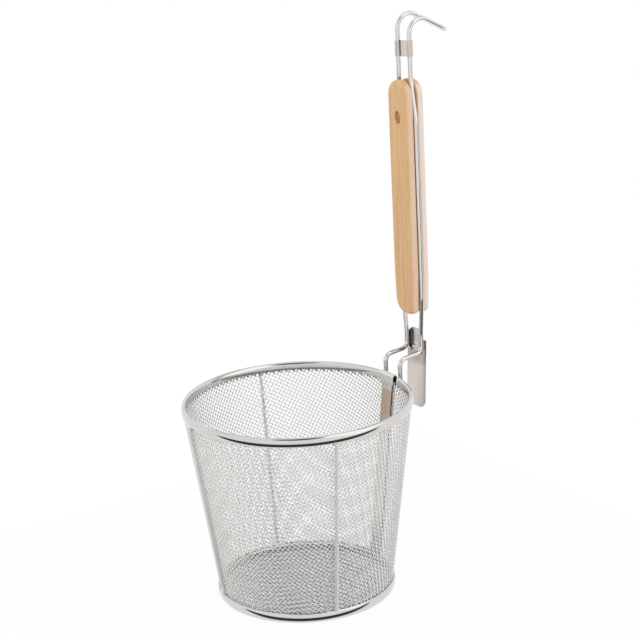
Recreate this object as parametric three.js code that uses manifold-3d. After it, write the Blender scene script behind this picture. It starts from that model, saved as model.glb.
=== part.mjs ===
// A frying strainer: a tapered wire basket with a flat floor, held by an upright split wooden handle
// on one long bent wire. Millimetres, +Z up. The basket stands on its base band and the handle is at +X.
import * as THREE from 'three';
import { mergeVertices } from 'three/addons/utils/BufferGeometryUtils.js';
import Module from 'manifold-3d';

// Basket
const rimDiameter = 145;
const baseDiameter = 112.5;
const basketHeight = 125;
const bandHeight = 5;
const bandSheet = 0.6;
const rimBandWidth = 3.2;
const rimBandRound = 1.4;
const baseBandWidth = 3.6;
const baseBandRound = 1;
const bandSegments = 56;

// Shared by all pieces: the clearance between them, and how finely their curves are drawn
const gap = 0.3;
const weldTolerance = 1e-4;
const cornerSteps = 4;
const edgeSteps = 2;
const bendSteps = 6;
const wireSides = 8;

// Wire net of the wall and the floor, drawn coarser than the weave it stands for
const netThickness = 0.8;
const netStrand = 1.4;
const netColumns = 22;
const netHalfRows = 13;
const netBandGap = 0.4;
const floorPitch = 13;
const floorTurn = 20;
const floorSegments = 36;
const floorBorder = 3;
const flangeThickness = 0.6;

// Upright ribs, as angles round the basket from the handle
const ribDiameter = 2.3;
const ribSides = 10;
const ribAngles = { rib_handle: -2.8, rib_back: 75.4, rib_left: 171, rib_front: 254.5 };

// Strap over the mesh seam, with a wider saddle folded over the rim
const strapWidth = 11;
const strapThickness = 0.8;
const strapJoggle = 3;
const saddleWidth = 14.5;
const saddleBend = 1;

// Wooden grips and their rivet, lifted above the rim
const gripLift = 36.3;
const gripLength = 148.2;
const gripWidth = 20;
const gripThickness = 5.2;
const gripTopCorner = 9;
const gripBottomCorner = 7;
const gripRound = 1.6;
const rivetInset = 22.8;
const rivetShank = 4;
const rivetHead = 7.2;
const rivetHeadDepth = 1.4;
const rivetSides = 20;

// Wire clip
const clipLift = 12.5;
const clipHeight = 12.6;
const clipSheet = 0.5;
const clipCurl = 220;
const clipCurlSteps = 9;

// Handle wire, with its two sides apart by different widths on the rim, in the grip and at the hook
const wireDiameter = 3;
const legSpacing = 15;
const gripSpacing = 19;
const hookSpacing = 12.9;
const handleOffset = 90.8;
const legLift = 11;
const legRise = 1.5;
const wireBendRadius = 4.5;
const spreadLift = 10;
const spreadLength = 24;
const spreadRadius = 30;
const hookRise = 39.2;
const archRadius = 8.8;
const hookSlope = 27.9;
const hookReach = 32.3;
const hookTwist = 0.17;

// Pot hook plate, with its heights from the rim
const plateWidth = 18.5;
const plateThickness = 1;
const plateDrop = 26.7;
const plateFootCorner = 5;
const wingLift = 20;
const wingCorner = 1.5;
const notchLift = 8;
const notchGap = 0.5;
const tongueLift = 24.8;
const tongueCorner = 3;
const tongueBead = 1;
const tongueStep = 4.2;

// Worked out from the sizes above
const rimRadius = rimDiameter / 2;
const baseRadius = baseDiameter / 2;
const rimBottom = basketHeight - bandHeight;
const wallTopRadius = rimRadius - rimBandWidth / 2;
const wallBottomRadius = baseRadius - bandSheet - netBandGap - netThickness / 2;
const floorTop = bandHeight + gap + netThickness;
const wireRadius = wireDiameter / 2;
const ribRadius = ribDiameter / 2;
const gripBottom = basketHeight + gripLift;
const gripTop = gripBottom + gripLength;
const rivetHeight = gripTop - rivetInset;
const legBend = basketHeight + legLift;
const plateBottom = basketHeight - plateDrop;
const wingTop = basketHeight + wingLift;
const notchBottom = basketHeight + notchLift;
const tongueTop = basketHeight + tongueLift;
const gripInnerFace = wireRadius + gap;
const gripOuterFace = gripInnerFace + gripThickness;
const radians = THREE.MathUtils.degToRad;

const steel = { color: 0xcfcfcb, roughness: 0.28, metalness: 0.95 };
const mesh = { color: 0xc4c5c3, roughness: 0.35, metalness: 0.9 };
const beech = { color: 0xdcb893, roughness: 0.6, metalness: 0 };
const bronze = { color: 0x5a4030, roughness: 0.5, metalness: 0.5 };

const wasm = await Module();
wasm.setup();

function solid(source) {
  const geometry = source.clone();
  geometry.deleteAttribute('normal');
  geometry.deleteAttribute('uv');
  const merged = mergeVertices(geometry, weldTolerance);
  const vertProperties = new Float32Array(merged.attributes.position.array);
  const triVerts = new Uint32Array(merged.index.array);
  return new wasm.Manifold(new wasm.Mesh({ numProp: 3, vertProperties, triVerts }));
}

function fromSolid(manifold) {
  const { vertProperties, triVerts } = manifold.getMesh();
  const geometry = new THREE.BufferGeometry();
  geometry.setAttribute('position', new THREE.BufferAttribute(vertProperties, 3));
  geometry.setIndex(new THREE.BufferAttribute(triVerts, 1));
  return geometry;
}

function named(name, geometry, look) {
  const piece = new THREE.Mesh(geometry, new THREE.MeshStandardMaterial(look));
  piece.name = name;
  return piece;
}

// Outline points are [radius, height], and the ring stands round the Z axis.
function lathe(outline, segments = bandSegments) {
  const points = outline.map(([radius, height]) => new THREE.Vector2(radius, height));
  return new THREE.LatheGeometry(points, segments).rotateX(Math.PI / 2);
}

// A straight plate drawn in the X-Z plane and as wide as given along Y, centred.
function acrossY(outline, width) {
  const shape = new THREE.Shape(outline.map(([x, z]) => new THREE.Vector2(x, z)));
  const geometry = new THREE.ExtrudeGeometry(shape, { depth: width, bevelEnabled: false });
  return geometry.translate(0, 0, -width / 2).rotateX(Math.PI / 2);
}

// A bent sheet: the centre line given as [x, z] points, thickened to both sides.
function sheetOutline(line, thickness) {
  const points = line.map(([x, z]) => new THREE.Vector2(x, z));
  const side = (sign) => points.map((point, i) => {
    const before = points[Math.max(i - 1, 0)];
    const after = points[Math.min(i + 1, points.length - 1)];
    const arrive = point.clone().sub(i ? before : point.clone().multiplyScalar(2).sub(after)).normalize();
    const leave = (i < points.length - 1 ? after.clone().sub(point) : arrive.clone()).normalize();
    const along = arrive.clone().add(leave).normalize();
    const reach = sign * thickness / 2 / along.dot(leave);
    return [point.x - along.y * reach, point.y + along.x * reach];
  });
  return [...side(1), ...side(-1).reverse()];
}

// A wire's route, with one section at each of its points.
class Route extends THREE.Curve {
  constructor(points) {
    super();
    this.points = points;
  }

  getPoint(t, target = new THREE.Vector3()) {
    const place = t * (this.points.length - 1);
    const first = Math.min(Math.floor(place), this.points.length - 2);
    return target.lerpVectors(this.points[first], this.points[first + 1], place - first);
  }

  getPointAt(u, target) {
    return this.getPoint(u, target);
  }

  getTangentAt(u, target = new THREE.Vector3()) {
    const at = Math.round(u * (this.points.length - 1));
    const here = this.points[at];
    const arrive = here.clone().sub(this.points[Math.max(at - 1, 0)]).normalize();
    const leave = this.points[Math.min(at + 1, this.points.length - 1)].clone().sub(here).normalize();
    return target.copy(arrive.add(leave)).normalize();
  }
}

// Corner points become a route with round bends: each corner is [point, bend radius].
function roundedRoute(corners) {
  const points = [];
  corners.forEach(([corner, radius], i) => {
    if (!radius) {
      points.push(corner);
      return;
    }
    const arrive = corner.clone().sub(corners[i - 1][0]).normalize();
    const leave = corners[i + 1][0].clone().sub(corner).normalize();
    const turn = arrive.angleTo(leave);
    const axis = arrive.clone().cross(leave).normalize();
    const start = corner.clone().addScaledVector(arrive, -radius * Math.tan(turn / 2));
    const inward = axis.clone().cross(arrive);
    const centre = start.clone().addScaledVector(inward, radius);
    const spoke = start.clone().sub(centre);
    for (let step = 0; step <= bendSteps; step += 1) {
      points.push(spoke.clone().applyAxisAngle(axis, turn * step / bendSteps).add(centre));
    }
  });
  return new Route(points);
}

function wireAlong(route, radius) {
  const section = new THREE.Shape();
  for (let i = 0; i < wireSides; i += 1) {
    const angle = 2 * Math.PI * i / wireSides;
    const method = i ? 'lineTo' : 'moveTo';
    section[method](radius * Math.cos(angle), radius * Math.sin(angle));
  }
  section.closePath();
  const steps = route.points.length - 1;
  return new THREE.ExtrudeGeometry(section, { steps, extrudePath: route, bevelEnabled: false });
}

// A folded band: a channel with a round back, open towards its mouth.
function channelOutline(outerRadius, width, mouth, back, backRound) {
  const way = Math.sign(back - mouth);
  const innerRadius = outerRadius - width;
  const turns = Array.from({ length: edgeSteps + 1 }, (_, i) => i / edgeSteps);
  const corner = (centreRadius, centreHeight, radius, from, to) => turns.map((part) => {
    const angle = radians(from + (to - from) * part);
    return [centreRadius + radius * Math.cos(angle), centreHeight + way * radius * Math.sin(angle)];
  });
  const centreHeight = back - way * backRound;
  const inside = backRound - bandSheet;
  const outline = [
    [outerRadius, mouth],
    ...corner(outerRadius - backRound, centreHeight, backRound, 0, 90),
    ...corner(innerRadius + backRound, centreHeight, backRound, 90, 180),
    [innerRadius, mouth],
    [innerRadius + bandSheet, mouth],
    ...corner(innerRadius + backRound, centreHeight, inside, 180, 90),
    ...corner(outerRadius - backRound, centreHeight, inside, 90, 0),
    [outerRadius - bandSheet, mouth],
    [outerRadius, mouth],
  ];
  const step = ([r, z], [lastR, lastZ]) => Math.hypot(r - lastR, z - lastZ);
  const clean = outline.filter((point, i) => !i || step(point, outline[i - 1]) > weldTolerance);
  return way > 0 ? clean : clean.reverse();
}

function rimBand() {
  return lathe(channelOutline(rimRadius, rimBandWidth, rimBottom, basketHeight, rimBandRound));
}

// The base band is the same channel turned over, with a flat foot between its round corners.
function baseBand() {
  return lathe(channelOutline(baseRadius, baseBandWidth, bandHeight, 0, baseBandRound));
}

// The wall net: a lattice of diamond gaps on the cone, with a plain border in each band.
// p counts half columns round the basket and q counts half rows up it.
function wallNet() {
  const low = [wallBottomRadius, bandHeight + gap];
  const high = [wallTopRadius, rimBottom - gap];
  const borderLow = [wallBottomRadius, bandSheet + 2 * gap];
  const borderHigh = [wallTopRadius, basketHeight - bandSheet - 2 * gap];
  const profile = (q) => {
    if (q < 0) {
      return borderLow;
    }
    if (q > netHalfRows) {
      return borderHigh;
    }
    const part = q / netHalfRows;
    return [low[0] + (high[0] - low[0]) * part, low[1] + (high[1] - low[1]) * part];
  };
  const halfColumn = Math.PI * (wallTopRadius + wallBottomRadius) / 2 / netColumns;
  const halfRow = (high[1] - low[1]) / netHalfRows;
  const w = netStrand / Math.hypot(halfColumn, halfRow);
  const top = netHalfRows;
  const positions = [];

  const corner = ([p, q], depth) => {
    const [radius, z] = profile(q);
    const angle = Math.PI * (p % (2 * netColumns)) / netColumns;
    return [(radius + depth) * Math.cos(angle), (radius + depth) * Math.sin(angle), z];
  };
  const fan = (points) => {
    for (let i = 2; i < points.length; i += 1) {
      positions.push(...points[0], ...points[i - 1], ...points[i]);
    }
  };
  const skin = (...points) => {
    fan(points.map((point) => corner(point, netThickness / 2)));
    fan(points.map((point) => corner(point, -netThickness / 2)).reverse());
  };
  const edge = (a, b) => {
    const half = netThickness / 2;
    fan([corner(a, half), corner(b, half), corner(b, -half), corner(a, -half)]);
  };
  const hole = (...points) => points.forEach((point, i) => edge(point, points[(i + 1) % points.length]));

  for (let p = 0; p < 2 * netColumns; p += 1) {
    for (let q = 0; q <= top; q += 1) {
      const crossing = (p + q) % 2 === 1;
      const inside = q > 0 && q < top;
      if (crossing && inside) {
        skin([p - w, q], [p, q - w], [p + w, q], [p, q + w]);
      }
      if (crossing && q < top) {
        const rightFoot = q ? [p + w, q] : [p + 2 * w, w];
        const leftFoot = q ? [p - w, q] : [p - 2 * w, w];
        const rightHead = q + 1 < top ? [p + 1 - w, q + 1] : [p + 1 - 2 * w, top - w];
        const leftHead = q + 1 < top ? [p - 1 + w, q + 1] : [p - 1 + 2 * w, top - w];
        skin([p, q + w], rightFoot, [p + 1, q + 1 - w], rightHead);
        skin(leftFoot, [p, q + w], leftHead, [p - 1, q + 1 - w]);
      }
      if (!crossing && inside) {
        hole([p + 1 - w, q], [p, q + 1 - w], [p - 1 + w, q], [p, q - 1 + w]);
      }
      if (!crossing && q === 0) {
        hole([p - 1 + 2 * w, w], [p, w], [p + 1 - 2 * w, w], [p, 1 - w]);
      }
      if (!crossing && q === top) {
        hole([p - 1 + 2 * w, top - w], [p, top - 1 + w], [p + 1 - 2 * w, top - w], [p, top - w]);
      }
      if (inside) {
        continue;
      }
      const breaks = crossing ? [p - 2 * w, p, p + 2 * w] : [p - 1 + 2 * w, p, p + 1 - 2 * w];
      for (const [a, b] of [breaks.slice(0, 2), breaks.slice(1)]) {
        if (q === 0) {
          skin([a, -1], [b, -1], [b, w], [a, w]);
          edge([b, -1], [a, -1]);
        } else {
          skin([a, top - w], [b, top - w], [b, top + 1], [a, top + 1]);
          edge([a, top + 1], [b, top + 1]);
        }
      }
    }
  }
  const geometry = new THREE.BufferGeometry();
  geometry.setAttribute('position', new THREE.Float32BufferAttribute(positions, 3));
  return mergeVertices(geometry, weldTolerance);
}

// The floor net: crossed strands on a plain edge that is turned down into the base band.
function floorNet() {
  const outer = wallBottomRadius - netThickness / 2 - gap;
  const inner = outer - flangeThickness;
  const edgeInner = inner - floorBorder;
  const bottom = floorTop - netThickness;
  const edge = [[edgeInner, bottom], [inner, bottom], [inner, bandSheet + 2 * gap],
    [outer, bandSheet + 2 * gap], [outer, floorTop], [edgeInner, floorTop], [edgeInner, bottom]];
  const discRadius = edgeInner + floorBorder / 2;
  const disc = new THREE.CylinderGeometry(discRadius, discRadius, netThickness, floorSegments);
  disc.rotateX(Math.PI / 2).translate(0, 0, bottom + netThickness / 2);
  const bars = [];
  const count = Math.ceil(edgeInner / floorPitch);
  for (let i = -count; i < count; i += 1) {
    const offset = (i + 0.5) * floorPitch;
    bars.push(new THREE.BoxGeometry(netStrand, 2 * outer, netThickness).translate(offset, 0, 0));
    bars.push(new THREE.BoxGeometry(2 * outer, netStrand, netThickness).translate(0, offset, 0));
  }
  const place = (bar) => solid(bar.rotateZ(radians(floorTurn)).translate(0, 0, bottom + netThickness / 2));
  const lattice = bars.map(place).reduce((sum, bar) => sum.add(bar));
  return fromSolid(lattice.intersect(solid(disc)).add(solid(lathe(edge, floorSegments))));
}

// A rib lies along the outside of the wall, between the two bands.
function rib(angle) {
  const clear = netThickness / 2 + gap + ribRadius;
  const low = new THREE.Vector3(wallBottomRadius + clear, 0, bandHeight + gap);
  const high = new THREE.Vector3(wallTopRadius + clear, 0, rimBottom - gap);
  const along = high.clone().sub(low);
  const rod = new THREE.CylinderGeometry(ribRadius, ribRadius, along.length() - ribDiameter, ribSides);
  const up = new THREE.Vector3(0, 1, 0);
  rod.applyQuaternion(new THREE.Quaternion().setFromUnitVectors(up, along.clone().normalize()));
  const middle = low.add(high).multiplyScalar(0.5);
  return rod.translate(middle.x, middle.y, middle.z).rotateZ(radians(angle));
}

// The strap covers the seam of the wall from the floor up, and its wider top is folded over the rim.
function seamStrap() {
  const half = strapThickness / 2;
  const flatten = (radius, width) => Math.sqrt(radius ** 2 - (width / 2) ** 2) - gap - half;
  const rimInner = flatten(rimRadius - rimBandWidth, saddleWidth);
  const lowX = flatten(wallBottomRadius - netThickness / 2, strapWidth);
  const highX = flatten(wallTopRadius - netThickness / 2, strapWidth);
  const low = floorTop + gap;
  const neck = rimBottom - strapJoggle;
  const neckX = lowX + (highX - lowX) * (neck - low) / (rimBottom - low);
  const over = basketHeight + gap + half;
  const saddleLow = [rimInner, rimBottom - gap];
  const saddle = [saddleLow, [rimInner, over - saddleBend], [rimInner + saddleBend, over],
    [rimRadius - saddleBend, over]];
  const narrow = [[lowX, low], [neckX, neck], saddleLow, [rimInner, basketHeight - bandHeight / 2]];
  const strap = solid(acrossY(sheetOutline(narrow, strapThickness), strapWidth));
  return fromSolid(strap.add(solid(acrossY(sheetOutline(saddle, strapThickness), saddleWidth))));
}

// One wire makes the whole handle: two legs on the rim, bent out and up, spread in the grip, drawn in
// above it and arched over to a hook. The hook leans a little to one side.
function handleWire() {
  const legSide = legSpacing / 2;
  const gripSide = gripSpacing / 2;
  const hookSide = hookSpacing / 2;
  const legX = Math.sqrt((rimRadius + gap + wireRadius) ** 2 - legSide ** 2);
  const spread = legBend + legRise + spreadLift;
  const slope = radians(hookSlope);
  const archSpan = archRadius * (1 - Math.tan((Math.PI / 2 + slope) / 2));
  const archCorner = gripTop + hookRise - wireRadius - archSpan;
  const tipX = handleOffset + hookReach - wireRadius;
  const tipZ = archCorner - (tipX - handleOffset) * Math.tan(slope);
  const tipBend = hookSide - gap;
  const leg = (way) => {
    const lean = way * hookSide * hookTwist;
    return [
      [new THREE.Vector3(legX, way * legSide, rimBottom + gap), 0],
      [new THREE.Vector3(legX, way * legSide, legBend), wireBendRadius],
      [new THREE.Vector3(handleOffset, way * legSide, legBend + legRise), wireBendRadius],
      [new THREE.Vector3(handleOffset, way * legSide, spread), spreadRadius],
      [new THREE.Vector3(handleOffset, way * gripSide, spread + spreadLength), spreadRadius],
      [new THREE.Vector3(handleOffset, way * gripSide, gripTop - spreadLength), spreadRadius],
      [new THREE.Vector3(handleOffset, way * hookSide, gripTop), spreadRadius],
      [new THREE.Vector3(handleOffset, way * hookSide, archCorner + lean), archRadius],
      [new THREE.Vector3(tipX, way * hookSide, tipZ + lean), tipBend],
    ];
  };
  return wireAlong(roundedRoute([...leg(1), ...leg(-1).reverse()]), wireRadius);
}

// The plate that hangs on a pot's edge: a blade behind the wires, with a tongue pressed out of its top
// that comes forward between them over a small bead.
function potHookPlate() {
  const bladeX = handleOffset + wireRadius + gap + plateThickness / 2;
  const tongueWidth = legSpacing - wireDiameter - 2 * gap;
  const blade = plateWidth / 2;
  const notch = tongueWidth / 2 + notchGap;
  const foot = blade - plateFootCorner;
  const footZ = plateBottom + plateFootCorner;
  const wing = blade - wingCorner;
  const wingZ = wingTop - wingCorner;
  const outline = new THREE.Shape();
  outline.moveTo(-blade, footZ);
  outline.absarc(-foot, footZ, plateFootCorner, Math.PI, 1.5 * Math.PI);
  outline.absarc(foot, footZ, plateFootCorner, 1.5 * Math.PI, 2 * Math.PI);
  outline.absarc(wing, wingZ, wingCorner, 0, Math.PI / 2);
  outline.lineTo(notch, wingTop);
  outline.lineTo(notch, notchBottom);
  outline.lineTo(-notch, notchBottom);
  outline.lineTo(-notch, wingTop);
  outline.absarc(-wing, wingZ, wingCorner, Math.PI / 2, Math.PI);
  const sheet = plateAcrossX(outline, bladeX - plateThickness / 2, plateThickness);

  const beadX = handleOffset - tongueBead;
  const beadZ = notchBottom + tongueStep;
  const line = [[bladeX, notchBottom - tongueStep], [bladeX, notchBottom], [beadX, beadZ],
    [beadX, beadZ + tongueBead], [handleOffset, beadZ + 2 * tongueBead], [handleOffset, tongueTop]];
  const bent = solid(acrossY(sheetOutline(line, plateThickness), tongueWidth));
  const tongue = tongueWidth / 2;
  const tip = tongue - tongueCorner;
  const tipZ = tongueTop - tongueCorner;
  const tongueOutline = new THREE.Shape();
  tongueOutline.moveTo(-tongue, plateBottom);
  tongueOutline.lineTo(tongue, plateBottom);
  tongueOutline.absarc(tip, tipZ, tongueCorner, 0, Math.PI / 2);
  tongueOutline.absarc(-tip, tipZ, tongueCorner, Math.PI / 2, Math.PI);
  const depth = 2 * (bladeX - beadX + plateThickness);
  const cutter = plateAcrossX(tongueOutline, handleOffset - depth / 2, depth);
  return fromSolid(sheet.add(bent.intersect(cutter)));
}

// A flat plate with its outline drawn in the Y-Z plane, from x on by its thickness.
function plateAcrossX(outline, x, thickness) {
  const shape = { depth: thickness, curveSegments: cornerSteps, bevelEnabled: false };
  const plate = new THREE.ExtrudeGeometry(outline, shape);
  return solid(plate.rotateX(Math.PI / 2).rotateZ(Math.PI / 2).translate(x, 0, 0));
}

// The clip ties the two wires above the grips: a flat web behind them with its edges curled round them.
function wireClip() {
  const curl = wireRadius + gap + clipSheet / 2;
  const arc = (side) => Array.from({ length: clipCurlSteps + 1 }, (_, step) => {
    const angle = radians(clipCurl * step / clipCurlSteps);
    return [handleOffset + curl * Math.cos(angle), side * (hookSpacing / 2 + curl * Math.sin(angle))];
  });
  const line = [...arc(-1).reverse(), ...arc(1)].reverse();
  const shape = new THREE.Shape(sheetOutline(line, clipSheet).map(([x, y]) => new THREE.Vector2(x, y)));
  return new THREE.ExtrudeGeometry(shape, { depth: clipHeight, bevelEnabled: false })
    .translate(0, 0, gripTop + clipLift);
}

// The rivet ties the grips between the wires, and its heads lie sunk in their outer faces.
function rivetAlongX(shank, head, headDepth, halfLength) {
  const seat = halfLength - headDepth;
  const outline = [[0, -halfLength], [head / 2, -halfLength], [head / 2, -seat], [shank / 2, -seat],
    [shank / 2, seat], [head / 2, seat], [head / 2, halfLength], [0, halfLength]];
  return lathe(outline, rivetSides).rotateY(Math.PI / 2).translate(handleOffset, 0, rivetHeight);
}

function gripRivet() {
  return rivetAlongX(rivetShank, rivetHead, rivetHeadDepth, gripOuterFace - gap);
}

// One half of the handle; side is -1 towards the basket and 1 away from it.
function grip(side) {
  const half = gripWidth / 2 - gripRound;
  const low = gripBottom + gripRound;
  const high = gripTop - gripRound;
  const lowCorner = gripBottomCorner - gripRound;
  const highCorner = gripTopCorner - gripRound;
  const outline = new THREE.Shape();
  outline.absarc(half - lowCorner, low + lowCorner, lowCorner, -Math.PI / 2, 0);
  outline.absarc(half - highCorner, high - highCorner, highCorner, 0, Math.PI / 2);
  outline.absarc(-half + highCorner, high - highCorner, highCorner, Math.PI / 2, Math.PI);
  outline.absarc(-half + lowCorner, low + lowCorner, lowCorner, Math.PI, 1.5 * Math.PI);
  const board = new THREE.ExtrudeGeometry(outline, {
    depth: gripThickness - 2 * gripRound,
    curveSegments: cornerSteps,
    bevelSize: gripRound,
    bevelThickness: gripRound,
    bevelSegments: edgeSteps,
  });
  const face = side > 0 ? gripInnerFace : -gripOuterFace;
  board.rotateX(Math.PI / 2).rotateZ(Math.PI / 2).translate(handleOffset + face + gripRound, 0, 0);
  const sunk = rivetHeadDepth + 3 * gap;
  const bore = rivetAlongX(rivetShank + 2 * gap, rivetHead + 2 * gap, sunk, gripOuterFace + gap);
  return fromSolid(solid(board).subtract(solid(bore)));
}

const strainer = new THREE.Group();
strainer.add(
  named('rim_band', rimBand(), steel),
  named('base_band', baseBand(), steel),
  named('wall_mesh', wallNet(), mesh),
  named('floor_mesh', floorNet(), mesh),
  named('seam_strap', seamStrap(), steel),
  named('handle_wire', handleWire(), steel),
  named('pot_hook_plate', potHookPlate(), steel),
  named('wire_clip', wireClip(), steel),
  named('grip_inner', grip(-1), beech),
  named('grip_outer', grip(1), beech),
  named('grip_rivet', gripRivet(), bronze),
);
for (const [name, angle] of Object.entries(ribAngles)) {
  strainer.add(named(name, rib(angle), steel));
}

// The origin lies under the middle of the whole object.
const middle = new THREE.Box3().setFromObject(strainer).getCenter(new THREE.Vector3());
strainer.position.set(-middle.x, -middle.y, 0);

export default strainer;
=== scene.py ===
# %% [markdown]
# # A frying strainer of woven wire
# The object is a small basket of woven stainless wire with a flat floor, folded steel bands at both edges and
# an upright handle: one long bent wire with two beech halves riveted over it. Every piece here is a surface
# worked out with numpy in millimetres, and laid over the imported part, which gives the sizes.

import bpy
import numpy as np
from mathutils import Matrix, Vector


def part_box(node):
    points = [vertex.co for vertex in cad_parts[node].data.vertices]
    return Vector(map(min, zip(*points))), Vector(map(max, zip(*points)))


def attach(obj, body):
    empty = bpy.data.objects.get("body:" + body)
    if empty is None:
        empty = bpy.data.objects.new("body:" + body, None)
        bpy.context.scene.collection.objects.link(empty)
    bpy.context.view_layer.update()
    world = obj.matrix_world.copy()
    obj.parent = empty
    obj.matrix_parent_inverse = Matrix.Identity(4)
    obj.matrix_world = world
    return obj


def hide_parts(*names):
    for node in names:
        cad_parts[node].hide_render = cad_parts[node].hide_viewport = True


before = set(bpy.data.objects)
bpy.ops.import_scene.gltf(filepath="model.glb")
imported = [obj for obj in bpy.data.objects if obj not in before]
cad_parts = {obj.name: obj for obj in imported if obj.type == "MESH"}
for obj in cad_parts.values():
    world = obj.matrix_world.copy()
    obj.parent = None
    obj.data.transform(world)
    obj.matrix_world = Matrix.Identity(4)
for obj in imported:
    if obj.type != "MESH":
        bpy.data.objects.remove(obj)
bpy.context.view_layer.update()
print("packed nodes:", ", ".join(sorted(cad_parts)))

# %% [markdown]
# ## Sizes
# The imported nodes' boxes give the main sizes, and all points are measured from the basket's axis, the middle
# of the rim. Only sizes that a box can't show, such as a sheet's thickness, are given as numbers. Laid over
# the photograph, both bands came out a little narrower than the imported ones, so their radii are trimmed.

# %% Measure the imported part
METRE = 1000  # in millimetres


def node_box(node):
    """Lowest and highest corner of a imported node, in millimetres from the basket's axis."""
    low, high = (METRE * np.array(corner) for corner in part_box(node))
    return low - [axis_x, 0, 0], high - [axis_x, 0, 0]


axis_x = 0.0
axis_x = sum(corner[0] for corner in node_box("rim_band")) / 2
rim_low, rim_high = node_box("rim_band")
base_low, base_high = node_box("base_band")
wire_low, wire_high = node_box("handle_wire")
inner_low, inner_high = node_box("grip_inner")
outer_low, outer_high = node_box("grip_outer")

RIM_TRIM = 1.2
BASE_TRIM = 0.3
rim_radius = rim_high[0] - RIM_TRIM
base_radius = base_high[0] - BASE_TRIM
handle_x = (inner_high[0] + outer_low[0]) / 2
CLEARANCE = 0.3
wire_radius = (outer_low[0] - inner_high[0]) / 2 - CLEARANCE
print(f"rim {2 * rim_radius:.1f} mm, base {2 * base_radius:.1f} mm, handle {handle_x:.1f} mm from the axis")

# %% [markdown]
# ## From a grid to a mesh
# A sheet, a ring or a wire is a grid of points: rows along it and columns round its section. One function
# turns any such grid into a closed mesh, with caps at its ends or run round as a ring, and keeps the lengths
# in millimetres as a UV map, so that drawn lines in the steel follow a bend. Blender's own curves could sweep
# a wire too, but they give no say in the caps and the map.

# %% Grid helpers
SHARP_EDGE = np.radians(40)


def running_length(points, ring):
    """Length in mm along the first axis of a grid of points, averaged over the second: summed steps."""
    ahead = np.concatenate([points, points[:1]]) if ring else points
    steps = np.linalg.norm(np.diff(ahead, axis=0), axis=-1).mean(axis=1)
    return np.concatenate([[0.0], np.cumsum(steps)])


def faces_outward(points, quads):
    """True if the quads' volume about their own middle is positive: the sum of p0 . (p1 x p2 + p2 x p3)."""
    p0, p1, p2, p3 = np.moveaxis((points - points.mean(axis=0))[quads], 1, 0)
    volume = np.einsum("ij,ij->i", p0, np.cross(p1, p2) + np.cross(p2, p3))
    return volume.sum() > 0


def make_piece(name, points, polygons, uv, material, nodes, uv_name="Surface"):
    """A closed piece from points in mm from the axis and groups of polygons with their map."""
    if not faces_outward(points, polygons[0]):
        polygons, uv = ([group[:, ::-1] for group in groups] for groups in (polygons, uv))
    mesh = bpy.data.meshes.new(name)
    mesh.vertices.add(len(points))
    mesh.vertices.foreach_set("co", ((points + [axis_x, 0, 0]) / METRE).astype(np.float32).ravel())
    corners = np.concatenate([group.ravel() for group in polygons]).astype(np.int32)
    counts = np.concatenate([np.full(len(group), group.shape[1]) for group in polygons])
    mesh.loops.add(len(corners))
    mesh.loops.foreach_set("vertex_index", corners)
    mesh.polygons.add(len(counts))
    mesh.polygons.foreach_set("loop_start", (np.cumsum(counts) - counts).astype(np.int32))
    mesh.update(calc_edges=True)
    layer = mesh.uv_layers.new(name=uv_name)
    layer.uv.foreach_set("vector", np.concatenate([group.ravel() for group in uv]).astype(np.float32))
    mesh.shade_smooth()
    mesh.set_sharp_from_angle(angle=SHARP_EDGE)
    mesh.materials.append(material)
    piece = bpy.data.objects.new(name, mesh)
    bpy.context.scene.collection.objects.link(piece)
    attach(piece, "root")
    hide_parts(*nodes)
    print(f"{name}: {len(points)} points, {int((counts - 2).sum())} triangles")
    return piece


def grid_piece(name, grid, material, nodes, ring=False):
    """A grid of rows along a piece and columns round its section: quads between neighbours, and end caps."""
    rows, columns = grid.shape[:2]
    points = grid.reshape(-1, 3)
    row, column = np.meshgrid(np.arange(rows - 1 + ring), np.arange(columns), indexing="ij")
    corner_row = np.stack([row, row + 1, row + 1, row], axis=-1).reshape(-1, 4)
    corner_column = np.stack([column, column, column + 1, column + 1], axis=-1).reshape(-1, 4)
    along = running_length(grid, ring)
    around = running_length(np.swapaxes(grid, 0, 1), True)
    quad_uv = np.stack([along[corner_row], around[corner_column]], axis=-1)
    quads = corner_row % rows * columns + corner_column % columns
    polygons, uv = [quads], [quad_uv]
    if not ring:
        caps = np.stack([np.arange(columns), np.arange(rows * columns - 1, (rows - 1) * columns - 1, -1)])
        polygons.append(caps)
        uv.append(np.zeros((*caps.shape, 2)))
    return make_piece(name, points, polygons, uv, material, nodes)


# %% [markdown]
# ## Bent lines and sections
# Wire and strip are bent over round tools, so their middle lines are straight runs joined by arcs. A strip's
# section is such a line with its thickness laid off to both sides and its cut edges slightly rounded. A board
# or a stamped plate is an outline of the same kind, drawn in a little towards both faces so that its edges
# are soft.

# %% Line helpers
ARC_STEPS = 12


def unit(vectors):
    """Vectors divided by their own length."""
    return vectors / np.linalg.norm(vectors, axis=-1, keepdims=True)


def smooth(value, start, stop):
    """A soft step from 0 at start to 1 at stop: t x t x (3 - 2 t)."""
    part = np.clip((value - start) / (stop - start), 0, 1)
    return part * part * (3 - 2 * part)


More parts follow.
